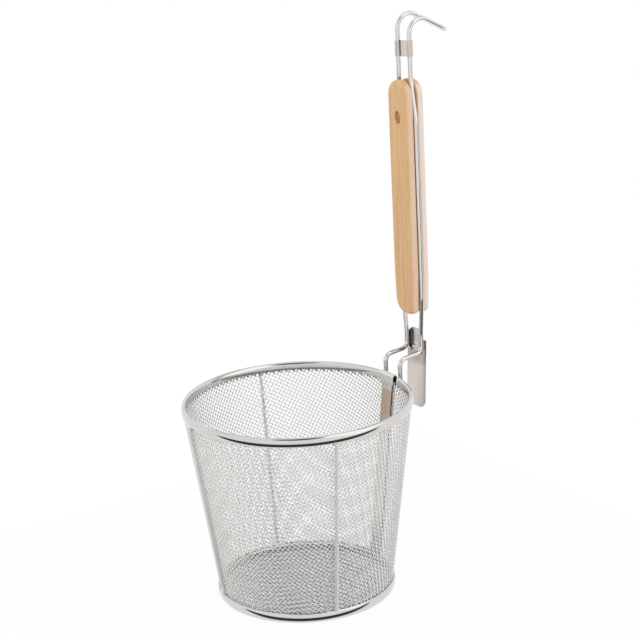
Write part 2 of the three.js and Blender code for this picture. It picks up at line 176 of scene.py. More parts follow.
def bent_line(corners, radii, steps=ARC_STEPS):
    """Straight runs with an arc at each corner: start + r (sin a arrive + (1 - cos a) inward)."""
    corners = np.array(corners, dtype=float)
    runs = [corners[:1]]
    for before, corner, after, radius in zip(corners, corners[1:], corners[2:], radii):
        arrive, leave = unit(corner - before), unit(after - corner)
        turn = np.arccos(np.clip(arrive @ leave, -1, 1))
        start = corner - arrive * radius * np.tan(turn / 2)
        inward = unit(leave - arrive * (arrive @ leave))
        angle = np.linspace(0, turn, steps + 1)[:, None]
        runs.append(start + radius * (np.sin(angle) * arrive + (1 - np.cos(angle)) * inward))
    return np.concatenate([*runs, corners[-1:]])


def side_normals(line):
    """Unit normals of a flat line: its direction (a, b) turned to (-b, a)."""
    along = unit(np.gradient(line, axis=0))
    return np.stack([-along[:, 1], along[:, 0]], axis=-1)


def strip_section(line, thickness):
    """Closed section of a strip: both sides of its middle line, and half a circle round each cut edge."""
    normal = side_normals(line)
    half = thickness / 2
    angle = np.linspace(0, np.pi, ARC_STEPS // 2 + 1)[1:-1, None]
    ahead = np.stack([normal[:, 1], -normal[:, 0]], axis=-1)
    end = line[-1] + half * (np.cos(angle) * normal[-1] + np.sin(angle) * ahead[-1])
    start = line[0] - half * (np.cos(angle) * normal[0] + np.sin(angle) * ahead[0])
    return np.concatenate([line + half * normal, end, (line - half * normal)[::-1], start])


def board_grid(outline, profile):
    """A board with shaped edges, from its outline and its edge profile.

    outline rows are (y, z, way y, way z, radius, radius change): a corner, how it moves when it is drawn in
    by 1 mm, its round and how that changes. profile rows are (inset, x), and each gives one ring of points.
    """
    corners, way, radius, change = np.split(np.array(outline, dtype=float), [2, 4, 5], axis=1)
    rings = []
    for inset, x in profile:
        ring = bent_line(corners + inset * way, (radius + inset * change)[1:-1, 0])[:-1]
        rings.append(np.column_stack([np.full(len(ring), x), ring]))
    return np.stack(rings)


def both_sides(half):
    """An outline's half with y > 0, from the bottom's middle upwards, joined with its mirror image."""
    return np.concatenate([half, (np.array(half) * [-1, 1, -1, 1, 1, 1])[::-1]])


def round_edge(inset, depth, face, way, steps=4):
    """Profile from a board's side to a face: inset (1 - cos a), and face - way x depth (1 - sin a)."""
    angle = np.linspace(0, np.pi / 2, steps + 1)
    return np.stack([inset * (1 - np.cos(angle)), face - way * depth * (1 - np.sin(angle))], axis=-1)


# %% [markdown]
# ## Colours and nodes
# Colours are written as they look on a screen and turned to linear light once. One small function adds a
# shader node, sets it, links it and gives back the socket that the next node needs. All stains, painted shade
# and painted sheen here, such as the painted dark edge of the strap, are of one kind: a colour mixed in where
# soft steps of the height or of the normal are up.

# %% Material helpers


def linear(hex_colour):
    """sRGB to linear light: c / 12.92 for dark values, else ((c + 0.055) / 1.055) to the power 2.4."""
    srgb = np.array([int(hex_colour[i:i + 2], 16) for i in (1, 3, 5)]) / 255
    light = np.where(srgb <= 0.04045, srgb / 12.92, ((srgb + 0.055) / 1.055) ** 2.4)
    return (*light.tolist(), 1.0)


def add_node(tree, kind, inputs=(), output=0, **settings):
    """Adds a shader node and gives one of its sockets.

    inputs are values, hex colours or sockets to link from, and settings are the node's own properties.
    """
    node = tree.nodes.new("ShaderNode" + kind)
    for key, value in settings.items():
        setattr(node, key, value)
    for key, value in dict(inputs).items():
        if isinstance(value, bpy.types.NodeSocket):
            tree.links.new(value, node.inputs[key])
        else:
            node.inputs[key].default_value = linear(value) if isinstance(value, str) else value
    return node.outputs[output] if node.outputs else node


def height_and_side(tree):
    """Sockets of a place's height in metres and of its normal's Y, which tell where a stain, painted shade or
    painted sheen lies.
    """
    place, normal = (add_node(tree, "TexCoord", output=name) for name in ("Object", "Normal"))
    height = add_node(tree, "SeparateXYZ", {"Vector": place}, output="Z")
    return height, add_node(tree, "SeparateXYZ", {"Vector": normal}, output="Y")


def soft_share(tree, steps, most=1.0):
    """The most that a share may reach x the product of soft steps, each (socket, start, stop)."""
    share = most
    for value, start, stop in steps:
        step = add_node(tree, "MapRange", {"Value": value, "From Min": start, "From Max": stop},
                        interpolation_type="SMOOTHSTEP")
        share = add_node(tree, "Math", {0: share, 1: step}, operation="MULTIPLY")
    return share


# Mixes in real stains as well as painted shade and painted sheen.
def stain_shade_or_sheen(tree, tone, hex_colour, *steps, most=1.0):
    """A tone with the colour of a stain, of painted shade or of painted sheen mixed in by a soft share."""
    share = soft_share(tree, steps, most)
    return add_node(tree, "Mix", {0: share, 6: tone, 7: hex_colour}, output=2, data_type="RGBA")


def new_finish(name, **sockets):
    """A material with its shader's sockets set, as (material, its node tree, the shader)."""
    material = bpy.data.materials.new(name)
    material.use_nodes = True
    shader = material.node_tree.nodes["Principled BSDF"]
    for key, value in sockets.items():
        shader.inputs[key.replace("_", " ")].default_value = value
    return material, material.node_tree, shader


# %% [markdown]
# ## Stainless steel
# All metal here is stainless steel and differs only in how it was worked, and in the shade painted on some
# pieces: wire is drawn, sheet is rolled satin, the bands are polished and the ribs tumbled dull. So one recipe
# serves them all: noise shifts the roughness and the tone a little, as lines along the piece's map, or in
# patches where a wire is too thin to show lines. The real lines are a few hundredths of a millimetre apart,
# and are drawn as coarse as they need to show. A finish may take a tint, a function that stains the tone or
# paints shade on it in some places.

# %% Steel finishes
LINE_DETAIL = 3.0
PATCH_DETAIL = 2.0
PATCH_SIZE = 22
GRAIN_RANGE = (0.3, 0.7)


def steel_finish(name, tones, roughness, lines=None, tint=None):
    """Steel whose tone and roughness follow noise, of u / length and v / spacing of lines or of patches."""
    material, tree, shader = new_finish(name, Metallic=1.0)
    if lines:
        place = add_node(tree, "UVMap", output="UV", uv_map="Surface")
        sizes, detail = (*lines, 1), LINE_DETAIL
    else:
        place = add_node(tree, "TexCoord", output="Object")
        sizes, detail = [PATCH_SIZE / METRE] * 3, PATCH_DETAIL
    stretch = add_node(tree, "Mapping", {"Vector": place, "Scale": 1 / np.array(sizes)})
    grain = add_node(tree, "TexNoise", {"Vector": stretch, "Scale": 1.0, "Detail": detail})
    rough = add_node(tree, "MapRange", {
        "Value": grain, "From Min": GRAIN_RANGE[0], "From Max": GRAIN_RANGE[1],
        "To Min": roughness[0], "To Max": roughness[1]})
    tone = add_node(tree, "Mix", {0: grain, 6: tones[0], 7: tones[1]}, output=2, data_type="RGBA")
    tree.links.new(rough, shader.inputs["Roughness"])
    tree.links.new(tint(tree, tone) if tint else tone, shader.inputs["Base Color"])
    return material


STRIP_LINES, WIRE_LINES, SHEET_LINES = (45, 0.9), (30, 0.7), (18, 0.5)
STRIP_TONES = ("#c9c8c6", "#dddcda")
band_steel = steel_finish("polished stainless strip", STRIP_TONES, (0.06, 0.1), STRIP_LINES)
wire_steel = steel_finish("drawn stainless wire", ("#d2d1cf", "#e6e5e3"), (0.08, 0.15), WIRE_LINES)
rib_steel = steel_finish("tumbled stainless wire", ("#efeeec", "#faf9f7"), (0.6, 0.68), WIRE_LINES)
sheet_steel = steel_finish("satin stainless sheet", ("#cfc6be", "#e0d8d1"), (0.24, 0.38), SHEET_LINES)
print("steel finishes:", band_steel.name, wire_steel.name, rib_steel.name, sheet_steel.name, sep=" | ")

# %% [markdown]
# ## Folded bands
# A strip of sheet is rolled over each edge of the mesh and pressed, which leaves an oval tube, slit open
# where the mesh enters. Its round flanks show the dark front of the room as a thin line, as the photograph
# does. The rim's strip is a little short: its ends leave a slot beside the strap, where one can look into the
# hollow fold, whose inside is painted nearly black as shade. The section is carried round the axis. A screw
# modifier would turn it too, but the grid keeps the map in millimetres.

# %% Rim band and base band
BAND_SHEET = 0.6
RIM_BAND_WIDTH = 3.4
RIM_CROWN = 0.4
RIM_LIP = 0.5
RIM_INNER_SHARE = 0.6
BASE_BAND_WIDTH = 3.6
BASE_LIP = 1.3
MOUTH_HALF = 0.95
BAND_STEPS = 4 * ARC_STEPS
RING_STEPS = 240
RIM_SLOT = (-12.2, -8.0)


def band_section(outer, width, mouth, back, inner_share):
    """Section of a rolled band: an ellipse (a cos t, b sin t) that is open between its two lips.

    mouth and back are the heights of the lips and of the fold, and inner_share shortens the inner lip.
    """
    half = BAND_SHEET / 2
    way = np.sign(back - mouth)
    across = (width - BAND_SHEET) / 2
    lip = np.arccos(MOUTH_HALF / across)
    upright = (abs(back - mouth) - BAND_SHEET) / (1 + np.sin(lip))
    angle = np.linspace(-lip, np.pi + inner_share * lip, BAND_STEPS)
    middle = np.array([outer - width / 2, back - way * (upright + half)])
    line = middle + np.stack([across * np.cos(angle), way * upright * np.sin(angle)], axis=-1)
    return strip_section(line, BAND_SHEET)


def turned_grid(section, angle):
    """A section of [radius, height] carried round the axis: (r cos a, r sin a, z)."""
    radius, height = section[:, 0], section[:, 1]
    angle = angle[:, None]
    return np.stack([radius * np.cos(angle), radius * np.sin(angle), height + 0 * angle], axis=-1)


slot_start, slot_end = np.array(RIM_SLOT) / rim_radius
rim_section = band_section(rim_radius, RIM_BAND_WIDTH, rim_low[2] - RIM_LIP, rim_high[2] + RIM_CROWN,
                           RIM_INNER_SHARE)
inside_length = np.linalg.norm(np.diff(rim_section[:BAND_STEPS], axis=0), axis=1).sum()


def painted_fold_shade(tree, tone):
    """Paints shade on the inside of the fold, which is the first stretch of the map across the strip."""
    strip_map = add_node(tree, "UVMap", output="UV", uv_map="Surface")
    across = add_node(tree, "SeparateXYZ", {"Vector": strip_map}, output="Y")
    # Painted shade: the inside of the hollow fold is mixed to a near-black colour.
    return stain_shade_or_sheen(tree, tone, "#26231f", (across, inside_length, inside_length - BAND_SHEET / 2))


rim_steel = steel_finish("polished stainless strip with painted shade inside", STRIP_TONES, (0.05, 0.09),
                         STRIP_LINES, painted_fold_shade)
rim_angle = np.linspace(slot_end, slot_start + 2 * np.pi, RING_STEPS)
grid_piece("rim_band_folded", turned_grid(rim_section, rim_angle), rim_steel, ["rim_band"])
base_section = band_section(base_radius, BASE_BAND_WIDTH, base_high[2] + BASE_LIP, base_low[2], 1.0)
base_angle = np.linspace(0, 2 * np.pi, RING_STEPS, endpoint=False)
grid_piece("base_band_folded", turned_grid(base_section, base_angle), band_steel,
           ["base_band"], ring=True)

# %% [markdown]
# ## Woven wall
# The wall is plain-woven wire cloth, cut on the bias, rolled to a cone and lapped behind the strap. A picture
# of a weave would look flat from near by, so each wire is real. The weave is drawn on the flat cloth, where
# all wires are straight and every crossing is the same. Then the cloth is rolled: a cone cut open is a sector
# of a ring, so the distance from the sector's centre becomes the height and the angle the turn round the
# axis. That is why the weave's lines tilt slowly round the basket, as in real cloth.

# %% Weave helper
WEAVE_PITCH = 2.2
WEAVE_WIRE = 0.6
WEAVE_SIDES = 5
ROW_SHARE = 0.8


def woven_wires(roll, inside, reach, over):
    """One set of a plain weave's wires as points, quads, caps and a map.

    Wire i lies at i x pitch across the cloth, and its height is over x radius x cos(pi x (u / pitch + i)).
    roll puts (u, v, height) in space, inside tells where the cloth is, and reach is the range of u and v that
    it lies in. Every point gets a ring of WEAVE_SIDES points square to the wire.
    """
    low, high = reach
    count = np.arange(np.floor(low / WEAVE_PITCH), np.ceil(high / WEAVE_PITCH) + 1)
    u = np.arange(2 * count[0], 2 * count[-1] + 1) * WEAVE_PITCH / 2
    wire, u = np.meshgrid(count, u, indexing="ij")
    v = wire * WEAVE_PITCH
    height = over * WEAVE_WIRE / 2 * np.cos(np.pi * (u / WEAVE_PITCH + wire))
    middle = roll(u, v, height)
    outward = unit(roll(u, v, height + WEAVE_WIRE) - middle)
    along = unit(np.gradient(middle, axis=1))
    across = unit(np.cross(along, outward))
    outward = np.cross(across, along)
    angle = 2 * np.pi * np.arange(WEAVE_SIDES)[:, None] / WEAVE_SIDES
    rings = middle[:, :, None] + WEAVE_WIRE / 2 * (
        np.cos(angle) * outward[:, :, None] + np.sin(angle) * across[:, :, None])

    kept = inside(u, v)
    link = kept[:, :-1] & kept[:, 1:]
    none = np.zeros((len(link), 1), dtype=bool)
    before, after = np.hstack([none, link]), np.hstack([link, none])
    starts, ends, used = after & ~before, before & ~after, before | after
    number = (np.cumsum(used.ravel()) - 1).reshape(used.shape) * WEAVE_SIDES
    side = np.arange(WEAVE_SIDES)
    this, following = number[..., None] + side, number[..., None] + (side + 1) % WEAVE_SIDES
    quads = np.stack([this[:, :-1][link], this[:, 1:][link], following[:, 1:][link], following[:, :-1][link]],
                     axis=-1).reshape(-1, 4)
    caps = np.concatenate([number[starts][:, None] + side, number[ends][:, None] + side[::-1]])
    across_map = (wire[..., None] - count[0] + ROW_SHARE * side / WEAVE_SIDES) / len(count)
    along_map = (u[..., None] - u.min() + 0 * side) / np.ptp(u)
    flat_map = np.stack([along_map, across_map], axis=-1)[used].reshape(-1, 2)
    return rings[used].reshape(-1, 3), quads, caps, flat_map


def woven_cloth(name, roll, inside, reach, material, node):
    """Makes the warp a piece, and the weft, which has u and v swapped and its other side up."""
    sets = {"warp": (roll, inside, 1), "weft": (lambda u, v, h: roll(v, u, h), lambda u, v: inside(v, u), -1)}
    for kind, (place, within, over) in sets.items():
        points, quads, caps, flat_map = woven_wires(place, within, reach, over)
        make_piece(f"{name}_{kind}", points, [quads, caps], [flat_map[quads], flat_map[caps]], material,
                   [node], uv_name="OFBake")


# %% [markdown]
# The mesh wire is thin, so its own lines can't show. The cloth is a little duller than the thick wires, with
# soft patches a few centimetres wide where it was handled and rinsed. The floor's cloth is painted darker
# still, as shade for the inside of the basket and the shadow under it. Under the rim's inner lip a dark line
# of painted shade lies on the side of the wires that faces the axis.

# %% Woven wire finishes
LIP_SHADE_LOW = 1.8
LIP_SHADE_HIGH = 0.8
INNER_FACING = (0.2, -0.3)


def painted_lip_shade(tree, tone):
    """Paints a line of shade under the rim, on the side that faces the axis: the normal x the way outwards <
    0.
    """
    place, normal = (add_node(tree, "TexCoord", output=name) for name in ("Object", "Normal"))
    radial = add_node(tree, "VectorMath", {0: place, 1: (1, 1, 0), 2: (-axis_x / METRE, 0, 0)},
                      operation="MULTIPLY_ADD")
    outward = add_node(tree, "VectorMath", {0: radial}, operation="NORMALIZE")
    facing = add_node(tree, "VectorMath", {0: outward, 1: normal}, output="Value", operation="DOT_PRODUCT")
    height = add_node(tree, "SeparateXYZ", {"Vector": place}, output="Z")
    under_lip = (rim_low[2] - np.array([LIP_SHADE_LOW, LIP_SHADE_HIGH])) / METRE
    # Painted shade: a dark line under the rim's inner lip, on the wires' side that faces the axis.
    return stain_shade_or_sheen(tree, tone, "#5e5c5a", (facing, *INNER_FACING), (height, *under_lip))


wall_steel = steel_finish("woven stainless wire cloth", ("#e2e3e1", "#ececea"), (0.28, 0.40),
                          tint=painted_lip_shade)
# Painted shade: the floor's cloth gets a darker tone for the shade inside and under the basket.
shaded_floor_steel = steel_finish("stainless wire cloth with painted shade", ("#898987", "#9b9b99"), (0.34, 0.46))
print("cloth finishes:", wall_steel.name, shaded_floor_steel.name, sep=" | ")

# %% [markdown]
# The cone runs through the middles of both bands' mouths. The cloth reaches into both channels, and its two
# edges lap by a few millimetres behind the strap, one outside the other. The lap lies a little to one side of
# the handle, clear of the rib that stands there.

# %% Roll the wall cloth
BASE_MESH_INSET = 1.8
EDGE_IN_BAND = 1.4
LAP = 2.0
LAP_STEP = 1.3
SEAM_TURN = np.radians(2.5)

wall_foot = np.array([base_radius - BASE_MESH_INSET, base_high[2] + CLEARANCE])
wall_head = np.array([rim_radius - RIM_BAND_WIDTH / 2, rim_low[2] - CLEARANCE])
slant = np.linalg.norm(wall_head - wall_foot)
cone_sine = (wall_head[0] - wall_foot[0]) / slant
cone_cosine = (wall_head[1] - wall_foot[1]) / slant
foot_distance = wall_foot[0] / cone_sine
half_sector = np.pi * cone_sine


def cloth_place(u, v):
    """Bias cloth with wires at 45 degrees, as (distance from the sector's centre, angle in the sector)."""
    upward, sideways = (u + v) / np.sqrt(2), (u - v) / np.sqrt(2)
    return np.hypot(upward, sideways), np.arctan2(sideways, upward)


def wall_point(u, v, height):
    """A place on the cone, with height laid off along its normal; the lapping edge steps outwards."""
    distance, sector_angle = cloth_place(u, v)
    turn = np.pi + SEAM_TURN + sector_angle / cone_sine
    off = height + LAP_STEP * smooth((sector_angle + half_sector) * distance, LAP, 0)
    radius = distance * cone_sine + off * cone_cosine
    z = wall_foot[1] + (distance - foot_distance) * cone_cosine - off * cone_sine
    return np.stack([radius * np.cos(turn), radius * np.sin(turn), z], axis=-1)


def wall_inside(u, v):
    """True where the cloth is: between its lower and upper edge, and within the lap at both ends."""
    distance, sector_angle = cloth_place(u, v)
    up = (distance - foot_distance) * cone_cosine
    in_height = (up > -EDGE_IN_BAND) & (up < wall_head[1] - wall_foot[1] + EDGE_IN_BAND)
    return in_height & (np.abs(sector_angle) * distance < half_sector * distance + LAP)


top_distance = foot_distance + slant + EDGE_IN_BAND / cone_cosine
low_distance = foot_distance - EDGE_IN_BAND / cone_cosine
edge_angle = half_sector + LAP / low_distance
cloth_reach = (low_distance * np.cos(np.pi / 4 + edge_angle), top_distance)
woven_cloth("wall", wall_point, wall_inside, cloth_reach, wall_steel, "wall_mesh")

# %% [markdown]
# ## Woven floor
# The floor is a round of the same cloth. Its edge is turned down over a small radius and tacked inside the
# base band, so the same weave is laid over a profile: flat, then a quarter circle, then straight down.

# %% Lay the floor cloth
FLOOR_TURN = np.radians(20)
FLOOR_LIFT = -0.6
FLOOR_BEND = 0.9
FLANGE_DEPTH = 2.4
FLANGE_GAP = 0.35

floor_z = base_high[2] + FLOOR_LIFT
flange_radius = base_radius - BASE_BAND_WIDTH - FLANGE_GAP
flat_radius = flange_radius - FLOOR_BEND
bend_length = FLOOR_BEND * np.pi / 2
floor_reach = flat_radius + bend_length + FLANGE_DEPTH


def floor_point(u, v, height):
    """A place on the turned-down round: r and z follow the profile's arc length, height its normal."""
    distance = np.hypot(u, v)
    turn = np.arctan2(v, u) + FLOOR_TURN
    bend = np.clip((distance - flat_radius) / FLOOR_BEND, 0, np.pi / 2)
    drop = np.maximum(distance - flat_radius - bend_length, 0)
    radius = np.minimum(distance, flat_radius) + FLOOR_BEND * np.sin(bend) + height * np.sin(bend)
    z = floor_z - FLOOR_BEND * (1 - np.cos(bend)) - drop + height * np.cos(bend)
    return np.stack([radius * np.cos(turn), radius * np.sin(turn), z], axis=-1)


def floor_inside(u, v):
    """True within the round's cut edge."""
    return np.hypot(u, v) < floor_reach


woven_cloth("floor", floor_point, floor_inside, (-floor_reach, floor_reach), shaded_floor_steel, "floor_mesh")

# %% [markdown]
# ## Ribs
# Four straight wires stand outside the cloth and are spot-welded to both bands. Each is a circle carried
# along a straight line, with its cut ends slightly chamfered.

# %% Ribs between the bands
RIB_DIAMETER = 2.3
RIB_ANGLES = {"rib_handle": -2.8, "rib_back": 75.4, "rib_left": 171, "rib_front": 254.5}
NET_HALF_THICKNESS = 0.4
END_CHAMFER = 0.25
WIRE_SIDES = 24


def round_wire(line, normal, diameter, sides=WIRE_SIDES):
    """A circle carried along a line: point + r (normal cos a + binormal sin a), with chamfered ends."""
    along = unit(np.gradient(line, axis=0))
    normal = unit(normal - (normal * along).sum(axis=1, keepdims=True) * along)
    middle = np.concatenate([line[:1], line[:1] + END_CHAMFER * along[:1], line[1:-1],
                             line[-1:] - END_CHAMFER * along[-1:], line[-1:]])
    radius = np.full(len(middle), diameter / 2)
    radius[[0, -1]] -= END_CHAMFER
    normal = np.concatenate([normal[:1], normal, normal[-1:]])
    along = np.concatenate([along[:1], along, along[-1:]])
    binormal = np.cross(along, normal)
    angle = np.linspace(0, 2 * np.pi, sides, endpoint=False)[:, None]
    spokes = np.cos(angle) * normal[:, None] + np.sin(angle) * binormal[:, None]
    return middle[:, None] + radius[:, None, None] * spokes


rib_out = NET_HALF_THICKNESS + CLEARANCE + RIB_DIAMETER / 2
rib_part = np.linspace(BASE_LIP / (wall_head[1] - wall_foot[1]), 1, ARC_STEPS)[:, None]
foot_to_head = wall_foot + (wall_head - wall_foot) * rib_part
for rib_name, rib_angle in RIB_ANGLES.items():
    turn = np.radians([rib_angle])
    rib_line = turned_grid(foot_to_head + [rib_out, 0], turn)[0]
    sideways = np.stack([-np.sin(turn), np.cos(turn), 0 * turn], axis=-1) + 0 * rib_line
    rib_grid = round_wire(rib_line, sideways, RIB_DIAMETER)
    grid_piece(rib_name + "_wire", rib_grid, rib_steel, [rib_name])

# %% [markdown]
# ## Handle wire
# One wire makes both legs, both uprights, the arch and the hook's end. Its two sides stand apart by different
# widths on the rim, in the grip and at the hook, and the hook leans a little. The section needs a normal that
# never jumps: it is the wire's direction turned in the upright plane, which runs over into the hook's own
# plane where the wire turns back.

# %% Handle wire
LEG_SIDE = 7.5
LEG_GAP = 1.0
GRIP_SIDE = 9.5
HOOK_SIDE = 5.85
LEG_BEND = 134.4
LEG_RISE = 1.5
BEND_RADIUS = 4.5
SPREAD_START = 147.5
SPREAD_LENGTH = 24
SPREAD_RADIUS = 30
ARCH_RADIUS = 8.7
ARCH_LEAN = 0.7
ARCH_DROP = 0.5
HOOK_SLOPE = np.radians(27.9)
HOOK_LEAN = 1.35
HOOK_TRIM = 0.8
TURNED_ACROSS = 0.5

leg_x = np.sqrt((rim_radius + LEG_GAP + wire_radius) ** 2 - LEG_SIDE ** 2)
arch_span = ARCH_RADIUS * (1 - np.tan((np.pi / 2 + HOOK_SLOPE) / 2))
arch_corner = wire_high[2] - wire_radius - arch_span - ARCH_LEAN - ARCH_DROP
tip_x = wire_high[0] - wire_radius - HOOK_TRIM
tip_z = arch_corner - (tip_x - handle_x) * np.tan(HOOK_SLOPE)
wire_half = np.array([
    (leg_x, LEG_SIDE, wire_low[2]),
    (leg_x, LEG_SIDE, LEG_BEND),
    (handle_x, LEG_SIDE, LEG_BEND + LEG_RISE),
    (handle_x, LEG_SIDE, SPREAD_START),
    (handle_x, GRIP_SIDE, SPREAD_START + SPREAD_LENGTH),
    (handle_x, GRIP_SIDE, inner_high[2] - SPREAD_LENGTH),
    (handle_x, HOOK_SIDE, inner_high[2]),
    (handle_x, HOOK_SIDE, arch_corner),
    (tip_x, HOOK_SIDE, tip_z)])
lean = np.zeros_like(wire_half)
lean[-2:, 2] = ARCH_LEAN, HOOK_LEAN
wire_corners = np.concatenate([wire_half + lean, ((wire_half - lean) * [1, -1, 1])[::-1]])
half_bends = [BEND_RADIUS, BEND_RADIUS, *[SPREAD_RADIUS] * 4, ARCH_RADIUS, HOOK_SIDE - CLEARANCE]
wire_line = bent_line(wire_corners, half_bends + half_bends[::-1])
wire_along = unit(np.gradient(wire_line, axis=0))
wire_normal = np.cross([0, 1, 0], wire_along)
wire_normal[len(wire_line) // 2:] *= -1
turning_back = np.linalg.norm(wire_normal, axis=1) < TURNED_ACROSS
wire_normal[turning_back] = [-np.sin(HOOK_SLOPE), 0, -np.cos(HOOK_SLOPE)]
wire_grid = round_wire(wire_line, wire_normal, 2 * wire_radius)
grid_piece("handle_wire_bent", wire_grid, wire_steel, ["handle_wire"])

# %% [markdown]
# ## Seam strap
# A flat strip of sheet covers the lap of the cloth from inside. Its wider top is rolled tightly over the rim
# and tacked there. It is a rounded bar carried along a bent line, and every point is shifted so that the
# strip follows the round of the wall. Welding left a brown tint below the rim, which fades out lower down.
# The edge beside the lap is painted nearly black as shade, for the dark gap between strap and cloth. So its
# finish is the satin sheet with a tint between two heights, and painted shade where the normal points to that
# side.

# %% Strap finish
# Each pair is where a stain or the painted shade has faded out and where it is full
TINT_TOP, TINT_FOOT, EDGE_SHADE_TOP = np.array([(117.5, 113.5), (80, 96), (121, 119)]) / METRE
EDGE_SHADE_FACING = (-0.3, -0.7)


def heat_tint_and_edge_shade(tree, tone):
    """Brown tint between two heights, and painted shade, nearly black, on the side that faces -Y."""
    height, sideways = height_and_side(tree)
    brown = stain_shade_or_sheen(tree, tone, "#cdb8a4", (height, *TINT_TOP), (height, *TINT_FOOT))
    # Painted shade: nearly black on the side that faces -Y, for the gap beside the lap of the cloth.
    return stain_shade_or_sheen(tree, brown, "#3a322c", (sideways, *EDGE_SHADE_FACING), (height, *EDGE_SHADE_TOP))


strap_steel = steel_finish("heat-tinted stainless sheet with painted edge shade", ("#dedad6", "#ebe8e5"), (0.22, 0.34),
                           SHEET_LINES, heat_tint_and_edge_shade)
print("strap finish:", strap_steel.name)

# %% Seam strap
STRAP_THICKNESS = 0.8
SADDLE_THICKNESS = 0.4
SADDLE_GAP = 0.1
STRAP_WIDTH = 10.4
STRAP_SHIFT = -1.0
STRAP_JOGGLE = 3.0
STRAP_EDGE = 0.25
SADDLE_END = np.radians(62)
STRAP_BEND = 4
STRAP_ROWS = 20
NECK_HALF = 1

strap_low, strap_high = node_box("seam_strap")
saddle_width = strap_high[1] - strap_low[1]


def flat_bar(line, widths, thickness, edge):
    """A bar with round edges carried along a line in the X-Z plane: point + across Y + depth normal."""
    normal = side_normals(line)
    quarter = np.linspace(0, np.pi / 2, ARC_STEPS // 2 + 1)
    angle = np.concatenate([quarter + turn for turn in np.radians([0, 90, 180, 270])])
    right, front = np.repeat([[1, -1, -1, 1], [1, 1, -1, -1]], len(quarter), axis=1)
    across = right * (widths[:, None] / 2 - edge) + edge * np.cos(angle)
    full_depth = front * (thickness.max() / 2 - edge) + edge * np.sin(angle)
    depth = full_depth * thickness[:, None] / thickness.max()
    x, z = (line[:, [i]] + depth * normal[:, [i]] for i in (0, 1))
    return np.stack([x, across, z], axis=-1)


strap_in = NET_HALF_THICKNESS + CLEARANCE + STRAP_THICKNESS / 2
wall_lean = (wall_head[0] - wall_foot[0]) / (wall_head[1] - wall_foot[1])
fold_middle = np.array([rim_radius, rim_high[2] + RIM_CROWN]) - RIM_BAND_WIDTH / 2
fold_radius = RIM_BAND_WIDTH / 2 + SADDLE_GAP + SADDLE_THICKNESS / 2
neck_z = rim_low[2] - STRAP_JOGGLE
strap_upright = bent_line([
    *((wall_foot[0] - strap_in + wall_lean * (z - wall_foot[1]), z) for z in (strap_low[2], neck_z)),
    (fold_middle[0] - fold_radius, rim_low[2]),
    fold_middle - [fold_radius, 0]], [STRAP_BEND] * 2)
fold_angle = np.linspace(np.pi, SADDLE_END, 2 * ARC_STEPS)[1:, None]
strap_fold = fold_middle + fold_radius * np.hstack([np.cos(fold_angle), np.sin(fold_angle)])
strap_line = np.concatenate([np.linspace(strap_upright[0], strap_upright[1], STRAP_ROWS)[:-1],
                             strap_upright[1:], strap_fold])
strap_z = strap_line[:, 1]
strap_widths = STRAP_WIDTH + (saddle_width - STRAP_WIDTH) * smooth(
    strap_z, rim_low[2] - NECK_HALF, rim_low[2])
strap_widths[-len(strap_fold):] = saddle_width
strap_thickness = STRAP_THICKNESS + (SADDLE_THICKNESS - STRAP_THICKNESS) * smooth(
    strap_z, rim_low[2] - NECK_HALF, rim_low[2] + NECK_HALF)
strap_grid = flat_bar(strap_line, strap_widths, strap_thickness, STRAP_EDGE)
strap_grid[..., 1] += STRAP_SHIFT
strap_grid[..., 0] -= rim_radius - np.sqrt(rim_radius ** 2 - strap_grid[..., 1] ** 2)
grid_piece("seam_strap_rolled", strap_grid, strap_steel, ["seam_strap"])

# %% [markdown]
# ## Pot hook plate
# The plate hangs outside the rim and holds the basket on a pot's edge. It is stamped from sheet: a blade with
# round lower corners, and two slits in its top that leave a tongue between two wings. The tongue's sides are
# bent forward and welded between the two wires, and a bead across its root makes it stiff. The blade is a
# stamped outline that leans a little towards the basket. The tongue is a channel section carried upwards,
# whose depth, width and bead depend on the height. The narrow sides near the wires are painted dark as shade,
# and the sheet is greyer between two heights under the bend, so the finish darkens there.

# %% Plate finish
GREY_FOOT, GREY_TOP, SIDE_SHADE_FOOT = np.array([(124, 130), (136, 134), (131, 136)]) / METRE
SIDE_SHADE_FACING = (0.45, 0.85)


def grey_band_and_side_shade(tree, tone):
    """Grey between two heights, and painted shade on the narrow sides above a lower height."""
    height, sideways = height_and_side(tree)
    narrow = add_node(tree, "Math", {0: sideways}, operation="ABSOLUTE")
    grey = stain_shade_or_sheen(tree, tone, "#b9b0ab", (height, *GREY_FOOT), (height, *GREY_TOP))
    # Painted shade: dark on the narrow sides near the wires, above a lower height.
    return stain_shade_or_sheen(tree, grey, "#4e4844", (narrow, *SIDE_SHADE_FACING), (height, *SIDE_SHADE_FOOT))


plate_steel = steel_finish("satin stainless sheet with painted side shade", ("#cfc7c0", "#dfd8d2"), (0.24, 0.38),
                           SHEET_LINES, grey_band_and_side_shade)
print("plate finish:", plate_steel.name)

# %% Plate blade
PLATE_THICKNESS = 1.0
PLATE_EDGE = (0.3, 0.3)
FOOT_ROUND = 5.0
WING_ROUND = 1.4
SLIT_ROUND = 0.9
SLIT_SIDE = 6.2
SLIT_BOTTOM = 135.5
WING_TOP = 143.6
BLADE_LEAN = 2.4

